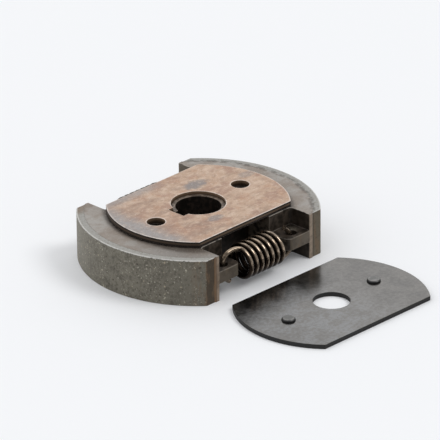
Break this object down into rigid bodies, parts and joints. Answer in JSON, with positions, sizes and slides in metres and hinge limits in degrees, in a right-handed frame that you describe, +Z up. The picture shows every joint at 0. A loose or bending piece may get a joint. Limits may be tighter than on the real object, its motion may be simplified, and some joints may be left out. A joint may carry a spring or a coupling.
{
  "type": "centrifugal clutch",
  "caption": "Centrifugal clutch with lined steel shoes sliding on a keyed hub bar, drawn in by coil springs, a drive plate on top and its pinned cover plate lying beside it.",
  "frame": {"origin": "on the shaft bore's axis, at the clutch's lower face, which is the table it rests on", "axes": "+Z up the shaft bore, towards the drive plate; X along the way the shoes fly out, with the key's slot on the -X side; the cover plate lies on the -Y side"},
  "size_m": [0.1058, 0.1476, 0.024],
  "materials": {
    "hub_steel": "oiled, dark",
    "copper_washed_plate": "blotchy copper film over steel, from the brazing furnace",
    "shoe_steel": "satin sintered steel, brown with old oil in the pockets",
    "friction_lining": "matt, with fine brassy specks",
    "spring_steel": "drawn wire, brownish",
    "cover_steel": "dark, semi-gloss",
    "pin_steel": "ground, oiled"
  },
  "bodies": {
    "hub": {"hub": "hub_steel", "drive_plate": "copper_washed_plate", "near_spring": "spring_steel", "far_spring": "spring_steel", "cover_plate": "cover_steel", "front_cover_pin": "pin_steel", "rear_cover_pin": "pin_steel"},
    "front_shoe": {"front_shoe": "shoe_steel", "front_lining": "friction_lining"},
    "rear_shoe": {"rear_shoe": "shoe_steel", "rear_lining": "friction_lining"}
  },
  "joints": [
    {"name": "front_shoe_slide", "type": "slide", "parent": "hub", "child": "front_shoe", "axis": [-1, 0, 0], "range_m": [0, 0.0021], "stiffness_N_per_m": 78500, "springref_m": -0.001, "deforming": ["near_spring", "far_spring"]},
    {"name": "rear_shoe_slide", "type": "slide", "parent": "hub", "child": "rear_shoe", "axis": [1, 0, 0], "range_m": [0, 0.0021], "stiffness_N_per_m": 78500, "springref_m": -0.001, "deforming": ["near_spring", "far_spring"]}
  ]
}
